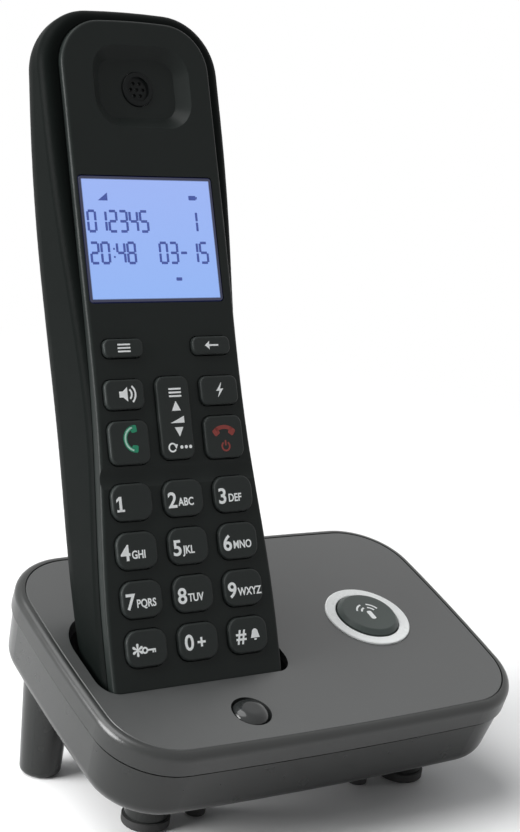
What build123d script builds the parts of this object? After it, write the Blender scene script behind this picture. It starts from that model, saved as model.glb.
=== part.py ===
"""A cordless telephone handset standing in its sloping charging base.

X runs to the right, Y to the back and Z up, in millimetres. The origin is on the table, under the middle of the
whole telephone. The base is drawn on the plane of its sloping deck and the handset on the plane of its face.
"""

import os
from math import cos, radians, sin

from build123d import *

# Base: the deck and the two housings under it
base_width = 117.0
base_depth = 77.0
base_corner = 17.5
base_bow = 1.3
base_tilt = 15.0
deck_height = 38.8
base_y = -12.8
base_thickness = 20.9
rim_height = 6.0
rim_land = 2.1
rim_round = 1.9
base_wall = 2.2
base_floor = 2.0
base_draft = 5.5
base_floor_round = 4.5
seam_step = 0.6
seam_gap = 0.5
seam_depth = 0.9
seam_chamfer = 0.35
deck_thickness = 2.0
subdeck_thickness = 1.6

# Legs, feet and screws of the base
leg_x = 49.5
leg_y = 18.4
leg_radius = 5.0
leg_top_radius = 6.5
pad_y = -12.8
pads = [(37.6, 5.8), (24.0, 2.6)]
pad_lip = 0.6
pad_height = 2.2
stud_radius = 1.1
stud_length = 2.4
base_screw_x = 46.5
base_screw_rows = (-27.5, 27.0)
base_screw_radius = 1.3
base_screw_head = 2.5
base_post_radius = 3.2
base_post_top = -12.0

# Paging button and its ring
page_x = 30.0
page_radius = 8.1
page_height = 1.7
page_travel = 0.6
ring_radius = 11.2
ring_width = 2.8
ring_height = 0.5
ring_seat = 1.0

# Charge light
light_x = -20.7
light_v = -26.6
light_radius = 4.8
light_height = 1.0
light_round = 3.0
light_board_v = -29.4

# Base circuit board and what stands on it
board_thickness = 1.6
base_board_top = -15.6
base_board_x = (3.0, 42.0)
base_board_v = (-32.0, 33.0)
inlet_x = 12.0
inlet_w = -11.2
inlet_mouth_radius = 3.0
inlet_mouth_depth = 4.5
inlet_bore_radius = 2.8
socket_x = 30.0
socket_width = 9.8
socket_height = 7.0
socket_depth = 11.0
socket_face = -4.3

# Handset: where it stands and how far it leans back
handset_x = -27.6
dock_v = -14.2
handset_lean = 24.2
handset_bottom = -9.0
handset_top = 160.1
handset_side = [(12.0, 23.8), (58.0, 21.2), (104.0, 23.3), (138.0, 24.4)]
handset_crown = 1.4
handset_corners = (9.5, 14.5)
handset_back = [(-9.0, -18.5), (20.0, -20.9), (56.0, -24.8), (100.0, -21.9), (142.0, -15.6), (170.0, -11.6)]
handset_wall = 1.8
back_round = 8.4
shoulder_drop = 1.6
shoulder_round = 2.8
face_side = [(12.0, 23.0), (56.0, 20.5), (100.0, 20.2), (136.0, 20.1)]
face_bottom = -8.0
face_top = 156.9
face_crown = 1.2
face_corners = (6.0, 11.5)
face_round = 0.8
face_thickness = 1.6
face_skirt = 4.4
skirt_wall = 1.2
fit = 0.15

# Cradle pocket
pocket_side_gap = 2.2
pocket_shift = 0.5
pocket_front_gap = 0.5
pocket_back_gap = 0.8
pocket_floor_gap = 0.3
pocket_corner = 4.5
pocket_rear_corner = 9.5
pocket_floor_corner = 12.0
pocket_wall = 1.3
contact_x = 8.0
contact_w = -7.9
contact_width = 3.0

# Display and earpiece
display_x = -0.8
display_s = 104.1
display_width = 35.0
display_height = 28.6
window_margin = 0.7
window_thickness = 1.2
ear_x = 1.0
ear_s = 140.9
ear_width = 26.4
ear_height = 20.0
ear_corner = 7.0
ear_depth = 2.7
ear_run = 2.9
grille_radius = 4.2
receiver_radius = 7.4

# Keys
key_gap = 0.25
key_travel = 0.5
key_rise = 1.1
key_flange = 0.5
key_flange_thickness = 0.6
key_flange_top = -1.8
digit_pitch_x = 13.8
digit_pitch_s = 11.15
digit_row_s = 42.6
digit_size = (10.6, 8.6)
digit_corner = 3.0
side_key_x = 12.9
soft_key_x = 12.0
rocker_flange_top = -2.2
groove_s = 48.4
groove_depth = 0.5
groove_radius = 6.0

# Handset inside
handset_board_top = -6.4
handset_board_thickness = 1.2
mat_pad_top = -3.0
cell_radius = 5.2
cell_length = 44.5
cell_pitch = 10.6
cell_s = 53.5
cell_w = -14.9
bay = (25.5, 84.0)
bay_wall_w = -8.2
bay_wall = 1.0
door_width = 31.0
speaker_s = 101.0
speaker_radius = 9.0
speaker_back = -18.2
speaker_floor = -20.2
handset_screws_at = [(-15.5, -2.0), (15.5, -2.0), (-14.6, 126.4), (14.6, 126.4)]
handset_screw_radius = 1.0
boss_radius = 2.6
boss_meet = -9.1

tilt = radians(base_tilt)
lean = radians(handset_lean)
deck = Plane(origin=(0, base_y, deck_height), x_dir=(1, 0, 0), z_dir=(0, -sin(tilt), cos(tilt)))
rear = Plane(
    origin=deck.from_local_coords(Vector(0, base_depth / 2, 0)), x_dir=(-1, 0, 0), z_dir=deck.y_dir
)
face = Plane(
    origin=deck.from_local_coords(Vector(handset_x, dock_v, 0)),
    x_dir=(1, 0, 0),
    z_dir=(0, -cos(lean), sin(lean)),
)
side = Plane(origin=face.origin, x_dir=face.y_dir, z_dir=(1, 0, 0))
foot = Plane(origin=face.origin, x_dir=(1, 0, 0), z_dir=face.y_dir)
deck_normal = Axis(deck.origin, deck.z_dir)
face_normal = Axis(face.origin, face.z_dir)

base_cavity_floor = -(base_thickness - base_floor)
subdeck_bottom = -(deck_thickness + subdeck_thickness)
window_size = (display_width + 2 * window_margin, display_height + 2 * window_margin)
page_stem_bottom = base_board_top + 5.4
page_hole_radius = page_radius + 0.35
handset_board_bottom = handset_board_top - handset_board_thickness


def slab(plane, x, y, width, length, low, high, corner=0.0, mode=Mode.ADD):
    """Add or cut a plate over the plane, from height low to height high, with rounded corners."""
    with BuildSketch(plane.offset(low)) as outline:
        with Locations((x, y)):
            if corner > 0:
                RectangleRounded(width, length, corner)
            else:
                Rectangle(width, length)
    extrude(outline.sketch, amount=high - low, mode=mode)


def rod(plane, x, y, radius, low, high, mode=Mode.ADD):
    """Add or cut a round rod that stands on the plane."""
    with BuildSketch(plane.offset(low)) as outline:
        with Locations((x, y)):
            Circle(radius)
    extrude(outline.sketch, amount=high - low, mode=mode)


def base_outline(height, inset):
    """The outline of the base at a height over the deck: four bowed sides and four round corners."""
    x, y = base_width / 2 - inset, base_depth / 2 - inset
    with BuildSketch(deck.offset(height)) as outline:
        with BuildLine():
            ThreePointArc((-x + base_bow, -y + base_bow), (0, -y), (x - base_bow, -y + base_bow))
            ThreePointArc((x - base_bow, -y + base_bow), (x, 0), (x - base_bow, y - base_bow))
            ThreePointArc((x - base_bow, y - base_bow), (0, y), (-x + base_bow, y - base_bow))
            ThreePointArc((-x + base_bow, y - base_bow), (-x, 0), (-x + base_bow, -y + base_bow))
        make_face()
        fillet(outline.vertices(), base_corner - inset)
    return outline.sketch


def long_outline(plane, stations, bottom, top, crown, corners):
    """The outline of the handset or of its face: waisted sides, a crowned top and round corners."""
    first, last = stations[0], stations[-1]
    with BuildSketch(plane) as outline:
        with BuildLine():
            Line((first[1], bottom), (first[1], first[0]))
            Spline([(x, s) for s, x in stations], tangents=[(0, 1), (0, 1)])
            Line((last[1], last[0]), (last[1], top - crown))
            ThreePointArc((last[1], top - crown), (0, top), (-last[1], top - crown))
            Line((-last[1], top - crown), (-last[1], last[0]))
            Spline([(-x, s) for s, x in reversed(stations)], tangents=[(0, -1), (0, -1)])
            Line((-first[1], first[0]), (-first[1], bottom))
            Line((-first[1], bottom), (first[1], bottom))
        make_face()
        ends = outline.vertices().group_by(Axis.Y)
        fillet(ends[0], corners[0])
        shoulders = outline.vertices().filter_by(lambda v: abs(v.Y - (top - crown)) < 0.01)
        fillet(shoulders, corners[1])
    return outline.sketch


def handset_block(inset, front, round_back, round_front):
    """The whole handset as one rounded block, shrunk by inset, with its front plane at the height front."""
    stations = [(s, x - inset) for s, x in handset_side]
    corners = [corner - inset for corner in handset_corners]
    back = [(s, w + inset) for s, w in handset_back]
    low, high = handset_bottom + inset, handset_top - inset
    with BuildPart() as block:
        extrude(long_outline(face.offset(front), stations, low, high, handset_crown, corners), amount=-60)
        with BuildSketch(side.offset(-60)) as profile:
            with BuildLine():
                Spline([(back[0][0] - 5, back[0][1])] + back[1:])
                Line(back[-1], (back[-1][0], front))
                Line((back[-1][0], front), (back[0][0] - 5, front))
                Line((back[0][0] - 5, front), (back[0][0] - 5, back[0][1]))
            make_face()
        extrude(profile.sketch, amount=120, mode=Mode.INTERSECT)
        fillet(block.faces().sort_by(face_normal)[0].edges(), round_back)
        if round_front > 0:
            fillet(block.faces().sort_by(face_normal)[-1].edges(), round_front)
    return block.part


def pocket_block(grow):
    """The space that the handset's foot slides into, or with grow the outside of the cup round it."""
    half_width = handset_side[0][1] + pocket_side_gap + grow
    front = pocket_front_gap + grow
    back = handset_back[1][1] - pocket_back_gap - grow
    bottom = handset_bottom - pocket_floor_gap - grow
    with BuildPart() as block:
        with BuildSketch(side.offset(pocket_shift - half_width)) as profile:
            with BuildLine():
                Polyline((bottom, front), (60, front), (60, back), (bottom, back), close=True)
            make_face()
            lowest = profile.vertices().filter_by(lambda v: abs(v.X - bottom) < 0.01).sort_by(Axis.Y)
            fillet(lowest[0], pocket_floor_corner + grow)
        extrude(profile.sketch, amount=2 * half_width)
        with BuildSketch(foot.offset(bottom - 1)) as section:
            with Locations((pocket_shift, -(front + back) / 2)):
                Rectangle(2 * half_width, front - back)
            fillet(section.vertices().group_by(Axis.Y)[0], pocket_corner + grow)
            fillet(section.vertices().group_by(Axis.Y)[-1], pocket_rear_corner + grow)
        extrude(section.sketch, amount=80, mode=Mode.INTERSECT)
    return block.part


def tub_outside():
    """The outside of the lower housing, without its cavity."""
    with BuildPart() as outside:
        top = -rim_height - seam_gap
        extrude(base_outline(top, seam_step), amount=-(base_thickness + top), taper=base_draft)
        fillet(outside.faces().sort_by(deck_normal)[0].edges(), base_floor_round)
        extrude(base_outline(-rim_height, seam_step + seam_depth), amount=-2 * seam_gap)
    return outside.part


def key_positions():
    """Centre and size of every push key on the handset's face, by name."""
    places = {}
    for number in range(12):
        row, column = divmod(number, 3)
        name = ("star_key", "zero_key", "hash_key")[column] if row == 3 else f"digit_key_{number + 1}"
        places[name] = ((column - 1) * digit_pitch_x, digit_row_s - row * digit_pitch_s, *digit_size, digit_corner)
    places["left_soft_key"] = (-soft_key_x, 78.3, 10.4, 4.4, 1.6)
    places["right_soft_key"] = (soft_key_x, 78.3, 10.4, 4.4, 1.6)
    places["speaker_key"] = (-side_key_x, 67.5, 10.3, 7.0, 1.9)
    places["flash_key"] = (side_key_x, 67.5, 10.3, 7.0, 1.9)
    places["talk_key"] = (-side_key_x, 56.3, 10.5, 10.2, 2.2)
    places["end_key"] = (side_key_x, 56.3, 10.5, 10.2, 2.2)
    return places


push_keys = key_positions()
rocker = (0.0, 61.5, 8.8, 19.6, 2.2)
page_v = 0.0
body_block = handset_block(0.0, -shoulder_drop, back_round, shoulder_round)
body_cavity = handset_block(handset_wall, -shoulder_drop - handset_wall, back_round - handset_wall, 0.0)
tub = tub_outside()
finished = {}


def keep(name, part):
    """Label a finished piece and write it out."""
    part.label = name
    export_step(part, f"parts/{name}.step")
    finished[name] = part


os.makedirs("parts", exist_ok=True)

# ---- Base housings ----

with BuildPart() as lower_housing:
    with Locations((-leg_x, base_y + leg_y, 0), (leg_x, base_y + leg_y, 0)):
        Cone(leg_radius, leg_top_radius, 32, align=(Align.CENTER, Align.CENTER, Align.MIN))
    fillet(lower_housing.edges().group_by(Axis.Z)[0], 1.5)
    for x, radius in pads:
        for side_x in (-x, x):
            rod(Plane.XY, side_x, base_y + pad_y, radius - pad_lip, pad_height, 24)
            rod(Plane.XY, side_x, base_y + pad_y, stud_radius + fit, 0, pad_height + stud_length + fit, Mode.SUBTRACT)
    add(tub)
    extrude(
        base_outline(-rim_height, base_wall + seam_step),
        amount=base_cavity_floor + rim_height,
        taper=base_draft,
        mode=Mode.SUBTRACT,
    )
    for v in base_screw_rows:
        for x in (-base_screw_x, base_screw_x):
            rod(deck, x, v, base_post_radius, base_cavity_floor, base_post_top)
            rod(deck, x, v, base_screw_radius + fit, -base_thickness, base_post_top, Mode.SUBTRACT)
            rod(deck, x, v, base_screw_head + fit, -base_thickness, -base_thickness + 2.4, Mode.SUBTRACT)
    for x in base_board_x:
        for v in base_board_v:
            inner_x = x + (3 if x == base_board_x[0] else -3)
            inner_v = v + (4 if v == base_board_v[0] else -4)
            rod(deck, inner_x, inner_v, 2.0, base_cavity_floor, base_board_top - board_thickness)
    rod(deck, light_x, light_board_v - 1.5, 2.0, base_cavity_floor, -9.9)
    rod(rear, -inlet_x, inlet_w, inlet_mouth_radius + 1.0, -base_wall - 4, 2, Mode.SUBTRACT)
    slab(rear, -socket_x, inlet_w, 11.6, 8.6, -base_wall - 4, 2, 0.8, Mode.SUBTRACT)
keep("lower_housing", lower_housing.part)

with BuildPart() as upper_housing:
    extrude(base_outline(0, 0), amount=-rim_height)
    fillet(upper_housing.faces().sort_by(deck_normal)[-1].edges(), rim_round)
    extrude(base_outline(0, rim_land), amount=-deck_thickness, mode=Mode.SUBTRACT)
    extrude(
        base_outline(-rim_height, base_wall + 0.4), amount=rim_height + subdeck_bottom, mode=Mode.SUBTRACT
    )
    chamfer(upper_housing.faces().sort_by(deck_normal)[0].outer_wire().edges(), seam_chamfer)
    for v in base_screw_rows:
        for x in (-base_screw_x, base_screw_x):
            rod(deck, x, v, base_post_radius, base_post_top, subdeck_bottom)
            rod(deck, x, v, base_screw_radius + 0.05, base_post_top, -4.6, Mode.SUBTRACT)
    rod(deck, page_x, page_v, page_hole_radius + 1.6, subdeck_bottom, 0, Mode.SUBTRACT)
    rod(deck, light_x, light_v, light_radius + 1.0, subdeck_bottom, 0, Mode.SUBTRACT)
    add(pocket_block(pocket_wall + 0.2), mode=Mode.SUBTRACT)
keep("upper_housing", upper_housing.part)

with BuildPart() as deck_plate:
    extrude(base_outline(0, rim_land + 0.12), amount=-deck_thickness)
    chamfer(deck_plate.faces().sort_by(deck_normal)[-1].edges(), 0.25)
    rod(deck, page_x, page_v, page_hole_radius, -deck_thickness, 0, Mode.SUBTRACT)
    rod(deck, page_x, page_v, ring_radius + 0.1, -ring_seat, 0, Mode.SUBTRACT)
    rod(deck, light_x, light_v, light_radius + 0.1, -deck_thickness, 0, Mode.SUBTRACT)
    add(pocket_block(0.0), mode=Mode.SUBTRACT)
keep("deck_plate", deck_plate.part)

with BuildPart() as cradle_cup:
    add(pocket_block(pocket_wall))
    slab(deck, 0, 0, 200, 200, -deck_thickness, 90, mode=Mode.SUBTRACT)
    add(pocket_block(0.0), mode=Mode.SUBTRACT)
    for x in (-contact_x, contact_x):
        slab(face, x, handset_bottom - 1, contact_width + 0.6, 3, contact_w - 1.2, contact_w + 1.2, mode=Mode.SUBTRACT)
keep("cradle_cup", cradle_cup.part)

with BuildPart() as base_contacts:
    for x in (-contact_x, contact_x):
        low = handset_bottom - pocket_floor_gap - pocket_wall
        slab(face, x, low + 0.75, contact_width, 2.1, contact_w - 0.8, contact_w + 0.8)
        slab(face, x, low - 0.25, contact_width, 0.4, contact_w - 4.0, contact_w + 3.0)
keep("base_contacts", base_contacts.part)

# ---- Pads and screws of the base ----

with BuildPart() as rubber_pads:
    for x, radius in pads:
        for side_x in (-x, x):
            rod(Plane.XY, side_x, base_y + pad_y, radius, 0, pad_height)
            rod(Plane.XY, side_x, base_y + pad_y, stud_radius, pad_height, pad_height + stud_length)
    fillet(rubber_pads.edges().group_by(Axis.Z)[0], 0.6)
keep("rubber_pads", rubber_pads.part)

with BuildPart() as base_screws:
    for v in base_screw_rows:
        for x in (-base_screw_x, base_screw_x):
            rod(deck, x, v, base_screw_head, -base_thickness + 0.9, -base_thickness + 2.4)
            rod(deck, x, v, base_screw_radius, -base_thickness + 2.4, -5.0)
            slab(deck, x, v, 2.6, 0.6, -base_thickness + 0.8, -base_thickness + 1.6, mode=Mode.SUBTRACT)
            slab(deck, x, v, 0.6, 2.6, -base_thickness + 0.8, -base_thickness + 1.6, mode=Mode.SUBTRACT)
keep("base_screws", base_screws.part)

# ---- Paging button, ring and charge light ----

with BuildPart() as page_ring:
    rod(deck, page_x, page_v, ring_radius, -ring_seat, ring_height)
    rod(deck, page_x, page_v, ring_radius - ring_width, -ring_seat, ring_height, Mode.SUBTRACT)
    fillet(page_ring.faces().sort_by(deck_normal)[-1].edges(), 0.35)
keep("page_ring", page_ring.part)

with BuildPart() as page_button:
    rod(deck, page_x, page_v, page_radius, -deck_thickness - 0.4, page_height)
    chamfer(page_button.faces().sort_by(deck_normal)[-1].edges(), 1.0)
    fillet(page_button.faces().sort_by(deck_normal)[-1].edges(), 0.5)
    rod(deck, page_x, page_v, page_hole_radius + 0.9, -deck_thickness - 1.2, -deck_thickness - 0.2)
    rod(deck, page_x, page_v, 1.8, page_stem_bottom, -deck_thickness - 1.2)
keep("page_button", page_button.part)

with BuildPart() as page_switch:
    slab(deck, page_x, page_v, 6.0, 6.0, base_board_top, base_board_top + 3.4, 0.5)
    rod(deck, page_x, page_v, 1.7, base_board_top + 3.4, page_stem_bottom - page_travel - 0.1)
keep("page_switch", page_switch.part)

with BuildPart() as charge_lens:
    rod(deck, light_x, light_v, light_radius, -deck_thickness - 0.1, light_height)
    fillet(charge_lens.faces().sort_by(deck_normal)[-1].edges(), light_round)
    rod(deck, light_x, light_v, light_radius + 0.8, -deck_thickness - 0.7, -deck_thickness - 0.1)
keep("charge_lens", charge_lens.part)

with BuildPart() as light_board:
    slab(deck, light_x, light_board_v, 11.0, 6.6, -9.9, -8.9, 0.8)
keep("light_board", light_board.part)

with BuildPart() as charge_light:
    rod(deck, light_x, light_board_v + 0.6, 1.9, -8.9, -7.9)
    rod(deck, light_x, light_board_v + 0.6, 1.5, -7.9, -4.6)
    fillet(charge_light.faces().sort_by(deck_normal)[-1].edges(), 1.3)
keep("charge_light", charge_light.part)

# ---- Base circuit board ----

with BuildPart() as base_board:
    (x_low, x_high), (v_low, v_high) = base_board_x, base_board_v
    slab(deck, (x_low + x_high) / 2, (v_low + v_high) / 2, x_high - x_low, v_high - v_low,
         base_board_top - board_thickness, base_board_top, 2.0)
keep("base_board", base_board.part)

with BuildPart() as radio_shield:
    slab(deck, 17.0, -18.0, 22.0, 19.0, base_board_top, base_board_top + 4.0, 1.0)
    slab(deck, 17.0, -18.0, 21.4, 18.4, base_board_top, base_board_top + 3.7, 0.7, Mode.SUBTRACT)
keep("radio_shield", radio_shield.part)

with BuildPart() as base_antenna:
    rod(deck, 37.5, -24.0, 0.8, base_board_top, -6.2)
    rod(Plane(origin=deck.origin, x_dir=(1, 0, 0), z_dir=deck.y_dir), 37.5, 7.0, 0.8, -24.8, 14.0)
keep("base_antenna", base_antenna.part)

with BuildPart() as power_inlet:
    slab(rear, -inlet_x, (base_board_top + inlet_w + 4.0) / 2, 9.0, inlet_w + 4.0 - base_board_top,
         -13.0, socket_face)
    rod(rear, -inlet_x, inlet_w, inlet_mouth_radius, socket_face - inlet_mouth_depth,
        socket_face, Mode.SUBTRACT)
    rod(rear, -inlet_x, inlet_w, inlet_bore_radius, -12.2, socket_face - inlet_mouth_depth, Mode.SUBTRACT)
    rod(rear, -inlet_x, inlet_w, 1.0, -12.3, socket_face - inlet_mouth_depth - 0.5)
keep("power_inlet", power_inlet.part)

with BuildPart() as line_socket:
    slab(rear, -socket_x, (base_board_top + inlet_w + 5.0) / 2, 13.0, inlet_w + 5.0 - base_board_top,
         socket_face - socket_depth - 1.5, socket_face)
    slab(rear, -socket_x, inlet_w, socket_width, socket_height, socket_face - socket_depth,
         socket_face, mode=Mode.SUBTRACT)
keep("line_socket", line_socket.part)

# ---- Handset housings ----

with BuildPart() as rear_housing:
    add(body_block)
    add(body_cavity, mode=Mode.SUBTRACT)
    opening = [(s, x + fit) for s, x in face_side]
    extrude(
        long_outline(face.offset(1), opening, face_bottom - fit, face_top + fit, face_crown, face_corners),
        amount=-(1 + face_skirt + fit),
        mode=Mode.SUBTRACT,
    )
    bay_middle, bay_length = (bay[0] + bay[1]) / 2, bay[1] - bay[0]
    slab(face, 0, bay_middle, 44, bay_length + 2 * bay_wall, bay_wall_w - bay_wall, bay_wall_w)
    for s in (bay[0] - bay_wall / 2, bay[1] + bay_wall / 2):
        slab(face, 0, s, 44, bay_wall, -30, bay_wall_w)
    for x, s in handset_screws_at:
        rod(face, x, s, boss_radius + 0.5, -30, boss_meet)
        rod(face, x, s, handset_screw_radius + fit, -30, boss_meet, Mode.SUBTRACT)
        rod(face, x, s, handset_screw_radius + 1.1, -30, boss_meet - 5.0, Mode.SUBTRACT)
    rod(face, 0, speaker_s, speaker_radius + 1.4, -30, speaker_back + 2.0)
    rod(face, 0, speaker_s, speaker_radius + 0.2, speaker_back, speaker_back + 2.1, Mode.SUBTRACT)
    rod(face, 0, speaker_s, speaker_radius - 1.0, speaker_floor, speaker_back + 2.1, Mode.SUBTRACT)
    for step, length in ((-2, 7.0), (-1, 10.5), (0, 11.5), (1, 10.5), (2, 7.0)):
        slab(face, 0, speaker_s + 2.5 * step, length, 1.2, -30, speaker_back, 0.59, Mode.SUBTRACT)
    add(body_block, mode=Mode.INTERSECT)
    slab(face, 0, bay_middle, door_width + 2 * fit, bay_length + 2 * fit, -30, cell_w, mode=Mode.SUBTRACT)
    for x in (-contact_x, contact_x):
        slab(face, x, handset_bottom, 4.0, 5.0, contact_w - 2.0, contact_w + 2.0, mode=Mode.SUBTRACT)
keep("rear_housing", rear_housing.part)

with BuildPart() as battery_door:
    add(body_block)
    add(body_cavity, mode=Mode.SUBTRACT)
    slab(face, 0, bay_middle, door_width, bay_length, -30, cell_w, mode=Mode.INTERSECT)
keep("battery_door", battery_door.part)

with BuildPart() as front_housing:
    extrude(
        long_outline(face, face_side, face_bottom, face_top, face_crown, face_corners), amount=-face_skirt
    )
    fillet(front_housing.faces().sort_by(face_normal)[-1].edges(), face_round)
    inner = [(s, x - skirt_wall) for s, x in face_side]
    corners = [corner - skirt_wall for corner in face_corners]
    extrude(
        long_outline(
            face.offset(-face_skirt), inner, face_bottom + skirt_wall, face_top - skirt_wall, face_crown, corners
        ),
        amount=face_skirt - face_thickness,
        mode=Mode.SUBTRACT,
    )
    slab(face, ear_x, ear_s, ear_width + 1.6, ear_height + 1.6, -ear_depth - 1.3, -face_thickness, ear_corner)
    with BuildSketch(face) as ear_mouth:
        with Locations((ear_x, ear_s)):
            RectangleRounded(ear_width, ear_height, ear_corner)
    with BuildSketch(face.offset(-ear_depth)) as ear_floor:
        with Locations((ear_x, ear_s)):
            RectangleRounded(ear_width - 2 * ear_run, ear_height - 2 * ear_run, ear_corner - ear_run)
    loft([ear_mouth.sketch, ear_floor.sketch], ruled=True, mode=Mode.SUBTRACT)
    rod(face, ear_x, ear_s, grille_radius + 0.1, -ear_depth - 2, 0, Mode.SUBTRACT)
    slab(face, display_x, display_s, window_size[0] + 2 * fit, window_size[1] + 2 * fit,
         -window_thickness - 0.1, 0, 1.0, Mode.SUBTRACT)
    slab(face, display_x, display_s, display_width + 0.6, display_height + 0.6, -face_thickness, 0, 0.6, Mode.SUBTRACT)
    for x, s, width, length, corner in [*push_keys.values(), rocker]:
        slab(face, x, s, width + 2 * key_gap, length + 2 * key_gap, -face_thickness, 1,
             corner + key_gap, Mode.SUBTRACT)
    with BuildSketch(side.offset(-40)) as groove:
        with Locations((groove_s, groove_radius - groove_depth)):
            Circle(groove_radius)
    extrude(groove.sketch, amount=80, mode=Mode.SUBTRACT)
    for x, s in handset_screws_at:
        rod(face, x, s, boss_radius, boss_meet, -face_thickness)
        rod(face, x, s, handset_screw_radius + 0.05, boss_meet, -face_thickness - 1.0, Mode.SUBTRACT)
    slab(face, 0, -3.2, 3.2, 0.9, -face_thickness, 1, 0.4, Mode.SUBTRACT)
keep("front_housing", front_housing.part)

with BuildPart() as handset_screws:
    for x, s in handset_screws_at:
        rod(face, x, s, handset_screw_radius + 0.9, boss_meet - 6.4, boss_meet - 5.0)
        rod(face, x, s, handset_screw_radius, boss_meet - 5.0, -face_thickness - 1.4)
        slab(face, x, s, 2.2, 0.5, boss_meet - 6.5, boss_meet - 5.8, mode=Mode.SUBTRACT)
        slab(face, x, s, 0.5, 2.2, boss_meet - 6.5, boss_meet - 5.8, mode=Mode.SUBTRACT)
keep("handset_screws", handset_screws.part)

# ---- Display and earpiece ----

with BuildPart() as display_window:
    slab(face, display_x, display_s, *window_size, -window_thickness - 0.05, -0.05, 0.9)
    chamfer(display_window.faces().sort_by(face_normal)[-1].edges(), 0.15)
keep("display_window", display_window.part)

with BuildPart() as display:
    slab(face, display_x, display_s, display_width + 0.8, display_height + 3.0, -3.3, -face_thickness - 0.1, 0.4)
keep("display", display.part)

with BuildPart() as display_backlight:
    slab(face, display_x, display_s, display_width, display_height + 2.0, -5.4, -3.35, 0.4)
keep("display_backlight", display_backlight.part)

with BuildPart() as display_frame:
    slab(face, display_x, display_s, display_width + 0.8, display_height + 5.0, handset_board_top + 0.02, -3.6, 0.8)
    slab(face, display_x, display_s, display_width + 0.2, display_height + 2.2, -5.45, -3.6, 0.4, Mode.SUBTRACT)
    slab(face, display_x, display_s, display_width - 6, display_height - 6, handset_board_top, -3.6, 0.8, Mode.SUBTRACT)
keep("display_frame", display_frame.part)

with BuildPart() as earpiece_grille:
    rod(face, ear_x, ear_s, grille_radius, -ear_depth - 1.2, -ear_depth + 0.5)
    fillet(earpiece_grille.faces().sort_by(face_normal)[-1].edges(), 0.4)
    rod(face, ear_x, ear_s, grille_radius - 1.2, -ear_depth - 0.2, -ear_depth + 1, Mode.SUBTRACT)
    with BuildSketch(face.offset(-ear_depth - 2)) as holes:
        with Locations((ear_x, ear_s)):
            with PolarLocations(1.7, 6):
                Circle(0.45)
            Circle(0.45)
    extrude(holes.sketch, amount=3, mode=Mode.SUBTRACT)
keep("earpiece_grille", earpiece_grille.part)

with BuildPart() as receiver:
    rod(face, ear_x, ear_s, receiver_radius, -ear_depth - 4.9, -ear_depth - 1.4)
    rod(face, ear_x, ear_s, receiver_radius - 2.4, -ear_depth - 6.0, -ear_depth - 4.9)
keep("receiver", receiver.part)

# ---- Keys ----


def push_key(x, s, width, length, corner):
    """One key: a domed cap over the face and a flange under it."""
    with BuildPart() as key:
        slab(face, x, s, width, length, key_flange_top - 0.1, key_rise, corner)
        fillet(key.faces().sort_by(face_normal)[-1].edges(), 0.55)
        slab(face, x, s, width + 2 * key_flange, length + 2 * key_flange,
             key_flange_top - key_flange_thickness, key_flange_top, corner + key_flange)
    return key.part


for name, place in push_keys.items():
    keep(name, push_key(*place))

with BuildPart() as rocker_key:
    x, s, width, length, corner = rocker
    slab(face, x, s, width, length, rocker_flange_top - 0.1, key_rise, corner)
    fillet(rocker_key.faces().sort_by(face_normal)[-1].edges(), 0.5)
    slab(face, x, s, width + 2 * key_flange, length + 2 * key_flange,
         rocker_flange_top - key_flange_thickness, rocker_flange_top, corner + key_flange)
keep("rocker_key", rocker_key.part)

with BuildPart() as keypad_mat:
    slab(face, 0, 43.2, 36.0, 77.6, handset_board_top + 0.02, handset_board_top + 1.1, 3.0)
    for x, s, width, length, corner in push_keys.values():
        slab(face, x, s, width - 3, length - 1.6, handset_board_top + 1.1, mat_pad_top, 1.0)
    x, s, width, length, corner = rocker
    for end in (-1, 1):
        slab(face, x, s + end * (length / 2 - 3.0), width - 3, 3.6, handset_board_top + 1.1, mat_pad_top - 0.5, 1.0)
keep("keypad_mat", keypad_mat.part)

# ---- Handset inside ----

with BuildPart() as handset_board:
    slab(face, 0, 67.5, 35.0, 127.0, handset_board_bottom, handset_board_top, 2.0)
    slab(face, 12.4, 138.0, 6.0, 26.0, handset_board_bottom, handset_board_top, 1.0)
    for x, s in handset_screws_at[2:]:
        rod(face, x, s, boss_radius + 0.8, handset_board_bottom, handset_board_top, Mode.SUBTRACT)
keep("handset_board", handset_board.part)

with BuildPart() as handset_antenna:
    slab(face, 12.4, 142.0, 5.2, 16.0, handset_board_top, handset_board_top + 1.4, 0.5)
keep("handset_antenna", handset_antenna.part)

with BuildPart() as microphone:
    rod(face, 0, -3.2, 2.9, -face_thickness - 2.6, -face_thickness - 0.1)
keep("microphone", microphone.part)

with BuildPart() as loudspeaker:
    rod(face, 0, speaker_s, speaker_radius, speaker_back + 0.05, speaker_back + 2.6)
    rod(face, 0, speaker_s, 5.0, speaker_back + 2.6, speaker_back + 5.0)
keep("loudspeaker", loudspeaker.part)

with BuildPart() as battery_cells:
    for column in (-1, 0, 1):
        with BuildSketch(foot.offset(cell_s - cell_length / 2)) as end:
            with Locations((column * cell_pitch, -cell_w)):
                Circle(cell_radius)
        extrude(end.sketch, amount=cell_length)
        with BuildSketch(foot.offset(cell_s + cell_length / 2)) as tip:
            with Locations((column * cell_pitch, -cell_w)):
                Circle(1.9)
        extrude(tip.sketch, amount=0.8)
keep("battery_cells", battery_cells.part)

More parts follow.
